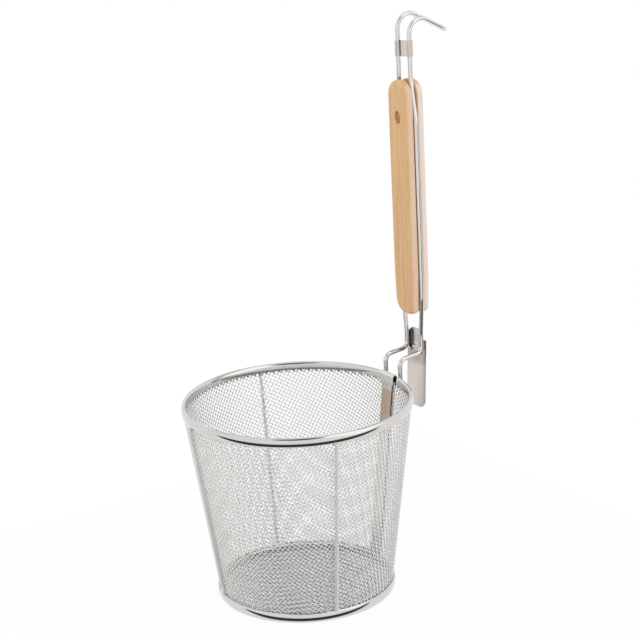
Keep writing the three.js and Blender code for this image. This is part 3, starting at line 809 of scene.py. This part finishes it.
plate_low, plate_high = node_box("pot_hook_plate")
plate_side = plate_high[1]
blade_x = plate_high[0] - PLATE_THICKNESS / 2
blade_outline = both_sides([
    (0, plate_low[2], 0, 1, 0, 0),
    (plate_side, plate_low[2], -1, 1, FOOT_ROUND, -1),
    (plate_side, WING_TOP, -1, -1, WING_ROUND, -1),
    (SLIT_SIDE, WING_TOP, 1, -1, WING_ROUND, -1),
    (SLIT_SIDE, SLIT_BOTTOM, 1, -1, SLIT_ROUND, 1)])
front_edge = round_edge(*PLATE_EDGE, blade_x - PLATE_THICKNESS / 2, -1)
back_edge = round_edge(*PLATE_EDGE, blade_x + PLATE_THICKNESS / 2, 1)
blade_grid = board_grid(blade_outline, np.concatenate([front_edge[::-1], back_edge]))
below_slit = (SLIT_BOTTOM - blade_grid[..., 2]) / (SLIT_BOTTOM - plate_low[2])
blade_grid[..., 0] -= BLADE_LEAN * np.clip(below_slit, 0, 1)
grid_piece("pot_hook_blade", blade_grid, plate_steel, ["pot_hook_plate"])

# %% Plate tongue
TONGUE_SIDE = 5.3
TONGUE_ROUND = 3.0
TONGUE_SHEET = 0.9
FLANGE_LOW = 0.7
FLANGE_HIGH = 2.3
BEAD_HEIGHT = 137.7
BEAD_REACH = 2.0
BEAD_HALF = 1.3
BEAD_SQUARE = 4
FLANK_LOW, FLANK_FULL, FLANK_FADE = 134.8, 137.5, 147
BEND_SHARE, BEND_LIMIT = 0.8, 0.9
TONGUE_ROOT = 1.5
TONGUE_TIP = 0.05
TONGUE_ROWS, WEB_POINTS = 40, 18


def tongue_ring(z):
    """Section of the tongue at a height: a channel whose web the bead's bell curve pushes out.

    A round top corner draws the sides in by r - root(r2 - n2), n being how far z is into the corner.
    """
    near = max(0, TONGUE_ROUND - (plate_high[2] - z))
    side = TONGUE_SIDE - (TONGUE_ROUND - np.sqrt(TONGUE_ROUND ** 2 - near ** 2))
    flank = smooth(z, FLANK_LOW, FLANK_FULL) * smooth(z, plate_high[2], FLANK_FADE)
    depth = FLANGE_LOW + (FLANGE_HIGH - FLANGE_LOW) * flank
    line = bent_line([(-side, blade_x - depth), (-side, blade_x), (side, blade_x), (side, blade_x - depth)],
                     [min(BEND_SHARE * depth, BEND_LIMIT)] * 2, ARC_STEPS // 2)
    left, right = np.split(line, 2)
    line = np.concatenate([left, np.linspace(left[-1], right[0], WEB_POINTS)[1:-1], right])
    bead = BEAD_REACH * np.exp(-((z - BEAD_HEIGHT) / BEAD_HALF) ** 2)
    line[:, 1] -= bead * np.clip(1 - (line[:, 0] / (side - 1)) ** BEAD_SQUARE, 0, 1)
    ring = strip_section(line, TONGUE_SHEET)
    return np.column_stack([ring[:, 1], ring[:, 0], np.full(len(ring), z)])


tongue_heights = np.unique(np.concatenate([
    np.linspace(SLIT_BOTTOM - TONGUE_ROOT, plate_high[2] - TONGUE_ROUND, TONGUE_ROWS),
    plate_high[2] - TONGUE_TIP - TONGUE_ROUND * (1 - np.cos(np.linspace(0, np.pi / 2, ARC_STEPS)))]))
tongue_grid = np.stack([tongue_ring(z) for z in tongue_heights])
grid_piece("pot_hook_tongue", tongue_grid, plate_steel, ["pot_hook_plate"])

# %% [markdown]
# ## Wire clip
# A piece of sheet ties the wires above the grips: a flat web between them, whose edges step behind the wires
# and curl forward round them. Its section is drawn in plan and carried straight up, and it sits a little
# askew.

# %% Wire clip
CLIP_SHEET = 0.45
CLIP_GAP = 0.1
CLIP_EDGE = 0.12
CURL_START = np.radians(-40)
CURL_END = np.radians(226)
WEB_BEND = 0.8
CLIP_TRIM = 1.4
CLIP_TILT = 0.1

clip_low, clip_high = node_box("wire_clip")
clip_bottom, clip_top = clip_low[2] + CLIP_TRIM, clip_high[2] - CLIP_TRIM
curl_radius = wire_radius + CLIP_GAP + CLIP_SHEET / 2
curl_angle = np.linspace(CURL_START, CURL_END, 4 * ARC_STEPS)
curl = np.stack([handle_x + curl_radius * np.cos(curl_angle), HOOK_SIDE + curl_radius * np.sin(curl_angle)],
                axis=-1)
curl_way = np.array([-np.sin(CURL_START), np.cos(CURL_START)])
web_corner = curl[0] - curl_way * (curl[0, 0] - handle_x) / curl_way[0]
web_half = bent_line([(handle_x, 0), web_corner, curl[0]], [WEB_BEND])
half_clip = np.concatenate([web_half[1:-1], curl])
clip_middle = np.concatenate([half_clip[::-1], half_clip * [1, -1]])
clip_full = strip_section(clip_middle, CLIP_SHEET)
clip_eased = strip_section(clip_middle, CLIP_SHEET - 2 * CLIP_EDGE)
clip_rows = [(clip_eased, clip_bottom), (clip_full, clip_bottom + CLIP_EDGE),
             (clip_full, clip_top - CLIP_EDGE), (clip_eased, clip_top)]
clip_grid = np.stack([np.column_stack([plan, np.full(len(plan), height)]) for plan, height in clip_rows])
clip_grid[..., 2] -= CLIP_TILT * clip_grid[..., 1]
grid_piece("wire_clip_curled", clip_grid, sheet_steel, ["wire_clip"])

# %% [markdown]
# ## Beech
# The grips are beech: pale, slightly pink, straight-grained, with soft growth bands a few millimetres apart
# and many short darker flecks. The grain runs up the handle, so both patterns are stretched along Z. The wood
# is sanded and lightly oiled, with a weak, broad shine, and its narrow sides are painted paler as sheen, so
# the tone also follows the normal's Y. The real flecks are about 0.1 mm wide, and are drawn wider so that
# they show.

# %% Beech finish
# Growth bands and flecks: sizes in mm, detail, distortion, range of the noise, most of the colour, colour
WOOD_PATTERNS = [
    ((3.2, 3.2, 90), 3.0, 0.4, (0.32, 0.68), 1.0, "#edc491"),
    ((0.45, 0.45, 3.5), 1.0, 0.0, (0.56, 0.72), 0.35, "#b98857")]
SHEEN_FACING = (0.45, 0.95)


def beech_finish(name, sheen_colour, sheen_share):
    """Beech: growth bands and flecks are noise that is stretched along Z; the sides mix in a paler colour as
    painted sheen.
    """
    material, tree, shader = new_finish(name, Roughness=0.5)
    place = add_node(tree, "TexCoord", output="Object")
    tone = "#e1ae78"
    for sizes, detail, distortion, (low, high), most, colour in WOOD_PATTERNS:
        stretch = add_node(tree, "Mapping", {"Vector": place, "Scale": 1 / (np.array(sizes) / METRE)})
        streaks = add_node(tree, "TexNoise", {
            "Vector": stretch, "Scale": 1.0, "Detail": detail, "Distortion": distortion})
        share = add_node(tree, "MapRange", {
            "Value": streaks, "From Min": low, "From Max": high, "To Max": most})
        tone = add_node(tree, "Mix", {0: share, 6: tone, 7: colour}, output=2, data_type="RGBA")
    _, sideways = height_and_side(tree)
    narrow = add_node(tree, "Math", {0: sideways}, operation="ABSOLUTE")
    # Painted sheen: the narrow sides, whose normal points along Y, are mixed towards a paler colour.
    tone = stain_shade_or_sheen(tree, tone, sheen_colour, (narrow, *SHEEN_FACING), most=sheen_share)
    tree.links.new(tone, shader.inputs["Base Color"])
    return material


beech = beech_finish("oiled beech", "#ead3c3", 0.55)
# The outer board gets a paler colour and a larger share of the painted sheen on its sides.
beech_with_more_sheen = beech_finish("oiled beech with more painted sheen", "#f1e2d7", 0.9)
print("wood finishes:", beech.name, beech_with_more_sheen.name, sep=" | ")

# %% [markdown]
# ## Grips
# Each grip is a board with a nearly half-round top, a slightly narrower foot and soft edges, softer on the
# outer face. It is an outline that is drawn in towards both faces by an edge profile. An oval recess is then
# bored for the rivet's head.

# %% Grips
GRIP_TOP_ROUND = 9.4
GRIP_FOOT_ROUNDS = (9.0, 5.0)
GRIP_TAPER = 1.2
GRIP_TAPER_LENGTH = 26
GRIP_TAPER_ROUND = 80
GRIP_INNER_EDGE = (0.9, 0.9)
GRIP_OUTER_EDGE = (3.2, 2.4)
RIVET_RECESS = 7.8
RECESS_OVAL = 0.75
RECESS_DEPTH = 1.6
RECESS_CHAMFER = 0.5
CUTTER_LIFT = (0.05, 2.0)

rivet_low, rivet_high = node_box("grip_rivet")
rivet_z = (rivet_low[2] + rivet_high[2]) / 2


def rivet_ovals(radius, x, sides):
    """Upright ovals about the rivet's line, one for each radius and x: (x, oval r cos a, r sin a)."""
    angle = np.linspace(0, 2 * np.pi, sides, endpoint=False)
    radius, x = radius[:, None], x[:, None]
    return np.stack([x + 0 * angle, RECESS_OVAL * radius * np.cos(angle), rivet_z + radius * np.sin(angle)],
                    axis=-1)


def grip_grid(low, high, inner_face, outer_face):
    """A grip board: its outline drawn in by a quarter circle inside and a quarter ellipse outside."""
    side, bottom, top = high[1], low[2], high[2]
    outline = both_sides([
        (0, bottom, 0, 1, 0, 0),
        (side - GRIP_TAPER, bottom, -1, 1, GRIP_FOOT_ROUNDS[0], -1),
        (side, bottom + GRIP_TAPER_LENGTH, -1, 0, GRIP_TAPER_ROUND, -1),
        (side, top, -1, -1, GRIP_TOP_ROUND, -1)])
    outline[-2, 4] = GRIP_FOOT_ROUNDS[1]
    way = np.sign(outer_face - inner_face)
    inner_edge = round_edge(*GRIP_INNER_EDGE, inner_face, -way)
    outer_edge = round_edge(*GRIP_OUTER_EDGE, outer_face, way, ARC_STEPS - 1)
    return board_grid(outline, np.concatenate([inner_edge[::-1], outer_edge]))


def bore_recess(piece, face_x, way):
    """Cuts an oval recess with a small chamfer into a grip: ovals stepped along X, taken away."""
    radius = RIVET_RECESS / 2 + np.array([0, 0, RECESS_CHAMFER, RECESS_CHAMFER])
    depth = face_x + way * np.array([-RECESS_DEPTH, -RECESS_CHAMFER, *CUTTER_LIFT])
    ovals = rivet_ovals(radius, depth, 4 * ARC_STEPS)
    cutter = grid_piece("recess_cutter", ovals, piece.data.materials[0], [])
    bore = piece.modifiers.new("recess", "BOOLEAN")
    bore.object = cutter
    bore.operation = "DIFFERENCE"
    bore.solver = "EXACT"
    finished = piece.evaluated_get(bpy.context.evaluated_depsgraph_get())
    whole = bpy.data.meshes.new_from_object(finished)
    piece.modifiers.clear()
    piece.data = whole
    bpy.data.objects.remove(cutter)
    whole.set_sharp_from_angle(angle=SHARP_EDGE)


inner_grid = grip_grid(inner_low, inner_high, inner_high[0], inner_low[0])
grip_inner_board = grid_piece("grip_inner_board", inner_grid, beech, ["grip_inner"])
bore_recess(grip_inner_board, inner_low[0], -1)
outer_grid = grip_grid(outer_low, outer_high, outer_low[0], outer_high[0])
grip_outer_board = grid_piece("grip_outer_board", outer_grid, beech_with_more_sheen, ["grip_outer"])
bore_recess(grip_outer_board, outer_high[0], 1)

# %% [markdown]
# ## Grip rivet
# A dark brown rivet ties the two boards between the wires. Its heads are slightly domed and lie sunk in the
# recesses. It is one profile turned round the X axis.

# %% Grip rivet
RIVET_SHANK = 4.0
RIVET_HEAD = 7.2
HEAD_DEPTH = 1.0
HEAD_SUNK = 0.6
DOME_RISE = 0.5
TARNISH_SIZE = 2.5
DOME_MIDDLE = 0.02
DOME_STEPS = 8
RIVET_SIDES = 40

rivet_brown, rivet_tree, rivet_shader = new_finish("browned rivet", Metallic=0.6, Roughness=0.45)
rivet_place = add_node(rivet_tree, "TexCoord", output="Object")
tarnish = add_node(rivet_tree, "TexNoise", {
    "Vector": rivet_place, "Scale": METRE / TARNISH_SIZE, "Detail": 2.0})
rivet_tone = add_node(rivet_tree, "Mix", {0: tarnish, 6: "#a5744b", 7: "#cb9767"}, output=2, data_type="RGBA")
rivet_tree.links.new(rivet_tone, rivet_shader.inputs["Base Color"])

rivet_half = (rivet_high[0] - rivet_low[0]) / 2 - HEAD_SUNK
dome = np.linspace(DOME_MIDDLE, 1, DOME_STEPS) * np.pi / 2
rivet_profile = np.concatenate([
    np.stack([RIVET_HEAD / 2 * np.sin(dome), rivet_half - DOME_RISE * (1 - np.cos(dome))], axis=-1),
    [[RIVET_HEAD / 2, rivet_half - HEAD_DEPTH], [RIVET_SHANK / 2, rivet_half - HEAD_DEPTH]]])
rivet_profile = np.concatenate([rivet_profile, rivet_profile[::-1] * [1, -1]])
rivet_grid = rivet_ovals(rivet_profile[:, 0], handle_x + rivet_profile[:, 1], RIVET_SIDES)
grid_piece("grip_rivet_sunk", rivet_grid, rivet_brown, ["grip_rivet"])

# %% [markdown]
# ## Stage and light
# The photograph has a white ground and soft, nearly shadowless light. The floor is a plain pale sheet that
# takes the shadow and is hidden from reflections. The world is white to the camera and in reflections, except
# for the dim front edge of the table and a dim gap beside the top lamp, which the rim shows as thin dark
# lines in the photograph: without them polished steel would have nothing dark to show. The table's edge is a
# straight line in front, so its height in a reflection falls with the share of the direction that points to
# the front.

# %% Floor and world
FLOOR_HALF = 0.2
PAPER_GLOW = 0.94

floor_mesh = bpy.data.meshes.new("studio_floor")
floor_corners = FLOOR_HALF * np.array([(-1, -1, 0), (1, -1, 0), (1, 1, 0), (-1, 1, 0)])
floor_mesh.from_pydata(floor_corners.tolist(), [], [(0, 1, 2, 3)])
floor = bpy.data.objects.new("studio_floor", floor_mesh)
bpy.context.scene.collection.objects.link(floor)
floor.visible_glossy = False

paper, paper_tree, _ = new_finish("white studio paper")
paper_tree.nodes.clear()
floor_mesh.materials.append(paper)
diffuse = add_node(paper_tree, "BsdfDiffuse", {"Color": "#f6f6f6"})
glow = add_node(paper_tree, "Emission", {"Color": "#ffffff", "Strength": 1.0})
to_camera = add_node(paper_tree, "LightPath", output="Is Camera Ray")
glow_share = add_node(paper_tree, "Math", {0: to_camera, 1: PAPER_GLOW}, operation="MULTIPLY")
paper_look = add_node(paper_tree, "MixShader", {0: glow_share, 1: diffuse, 2: glow})
add_node(paper_tree, "OutputMaterial", {"Surface": paper_look})

world = bpy.data.worlds.new("studio")
bpy.context.scene.world = world
world.use_nodes = True
sky = world.node_tree
sky.nodes.clear()
print("stage: floor and world")

# %% World nodes
VIEW_AZIMUTH = np.radians(-34)
EDGE_STEEP, EDGE_FLAT = -1.7, -0.42
EDGE_SOFT = 0.06
FRONT_START, FRONT_FULL = 0.05, 0.2
GAP_RISE = np.radians(44)
GAP_EDGE, GAP_CORE = np.cos(np.radians([25, 18]))
CEILING_LOW, CEILING_HIGH = 0.55, 0.8
DIM_LEVEL = 0.05
CEILING_LEVEL = 0.7
FILL_LEVEL = 0.82

ray = add_node(sky, "TexCoord", output="Generated")
front = np.array([np.sin(VIEW_AZIMUTH), -np.cos(VIEW_AZIMUTH), 0])
gap_middle = np.cos(GAP_RISE) * front + [0, 0, np.sin(GAP_RISE)]
frontward, gapward = (
    add_node(sky, "VectorMath", {0: ray, 1: way}, output="Value", operation="DOT_PRODUCT")
    for way in (front, gap_middle))
upward = add_node(sky, "SeparateXYZ", {"Vector": ray}, output="Z")
steepness = add_node(sky, "Math", {0: upward, 1: frontward}, operation="DIVIDE")
table_edge = soft_share(sky, [
    (steepness, EDGE_STEEP - EDGE_SOFT, EDGE_STEEP + EDGE_SOFT),
    (steepness, EDGE_FLAT + EDGE_SOFT, EDGE_FLAT - EDGE_SOFT),
    (frontward, FRONT_START, FRONT_FULL)])
lamp_gap = soft_share(sky, [(gapward, GAP_EDGE, GAP_CORE)])
dim = add_node(sky, "Math", {0: table_edge, 1: lamp_gap}, operation="MAXIMUM")
dim_level = add_node(sky, "MapRange", {"Value": dim, "To Min": 1.0, "To Max": DIM_LEVEL})
ceiling_level = add_node(sky, "MapRange", {
    "Value": upward, "From Min": CEILING_LOW, "From Max": CEILING_HIGH, "To Min": 1.0,
    "To Max": CEILING_LEVEL}, interpolation_type="SMOOTHSTEP")
studio_level = add_node(sky, "Math", {0: dim_level, 1: ceiling_level}, operation="MINIMUM")
mirrored, passed_on, to_camera = (
    add_node(sky, "LightPath", output=f"Is {kind} Ray") for kind in ("Glossy", "Transmission", "Camera"))
shown = add_node(sky, "Math", {0: mirrored, 1: passed_on}, operation="MAXIMUM")
reflected, fill, backdrop = (
    add_node(sky, "Background", {"Color": "#ffffff", "Strength": level})
    for level in (studio_level, FILL_LEVEL, 1.0))
soft = add_node(sky, "MixShader", {0: shown, 1: fill, 2: reflected})
seen = add_node(sky, "MixShader", {0: to_camera, 1: soft, 2: backdrop})
add_node(sky, "OutputWorld", {"Surface": seen})
print("world: dim table edge and lamp gap in reflections only")

# %% Lamps
LAMP_UP = (0.0, 1.0, 0.01)


def soft_lamp(name, place, aim, size, power):
    """A square area lamp at a place in metres, turned so that its -Z axis points at the aim."""
    lamp = bpy.data.lights.new(name, "AREA")
    lamp.size = size
    lamp.energy = power
    lamp_object = bpy.data.objects.new(name, lamp)
    back = unit(np.array(place) - np.array(aim))
    right = unit(np.cross(LAMP_UP, back))
    turn = np.column_stack([right, np.cross(back, right), back])
    lamp_object.matrix_world = Matrix.Translation(place) @ Matrix(turn.tolist()).to_4x4()
    bpy.context.scene.collection.objects.link(lamp_object)


soft_lamp("top_softbox", (-0.2, -0.2, 1.5), (0, 0, 0.15), 2.0, 4)
soft_lamp("right_softbox", (0.6, -1.3, 0.9), (0, 0, 0.18), 1.6, 3)
print("lamps: two softboxes")

# %% [markdown]
# ## Camera
# A pinhole camera was fitted to the outlines in the photograph, in a frame that looks along +Y at the
# basket's axis. Turning that frame puts the handle at +X. The camera leans by a small roll, which the
# photograph has too.

# %% Camera
IMAGE_SIZE = 640
FOCAL_PIXELS = 2062.2
SENSOR_WIDTH = 36
VIEW_PITCH = np.radians(17.4)
VIEW_ROLL = np.radians(-2.84)
VIEW_DISTANCE = 1248.28
VIEW_TARGET = np.array([16.405, 0.0, 174.4])

cosine, sine = np.cos(VIEW_AZIMUTH), np.sin(VIEW_AZIMUTH)
turn = np.array([[cosine, -sine, 0], [sine, cosine, 0], [0, 0, 1]])
forward = np.array([0, np.cos(VIEW_PITCH), -np.sin(VIEW_PITCH)])
level_right, level_up = np.array([1.0, 0, 0]), np.array([0, np.sin(VIEW_PITCH), np.cos(VIEW_PITCH)])
right = np.cos(VIEW_ROLL) * level_right + np.sin(VIEW_ROLL) * level_up
up = np.cos(VIEW_ROLL) * level_up - np.sin(VIEW_ROLL) * level_right
eye = (turn @ (VIEW_TARGET - VIEW_DISTANCE * forward) + [axis_x, 0, 0]) / METRE
pose = np.eye(4)
pose[:3, :3] = turn @ np.column_stack([right, up, -forward])
pose[:3, 3] = eye
lens = bpy.data.cameras.new("camera")
lens.sensor_width = SENSOR_WIDTH
lens.lens = SENSOR_WIDTH * FOCAL_PIXELS / IMAGE_SIZE
camera = bpy.data.objects.new("camera", lens)
camera.matrix_world = Matrix(pose.tolist())
bpy.context.scene.collection.objects.link(camera)
bpy.context.scene.camera = camera
print(f"camera at {np.round(eye, 3)} m, lens {lens.lens:.1f} mm")

# %% Finish
bpy.context.scene.view_settings.view_transform = "Standard"
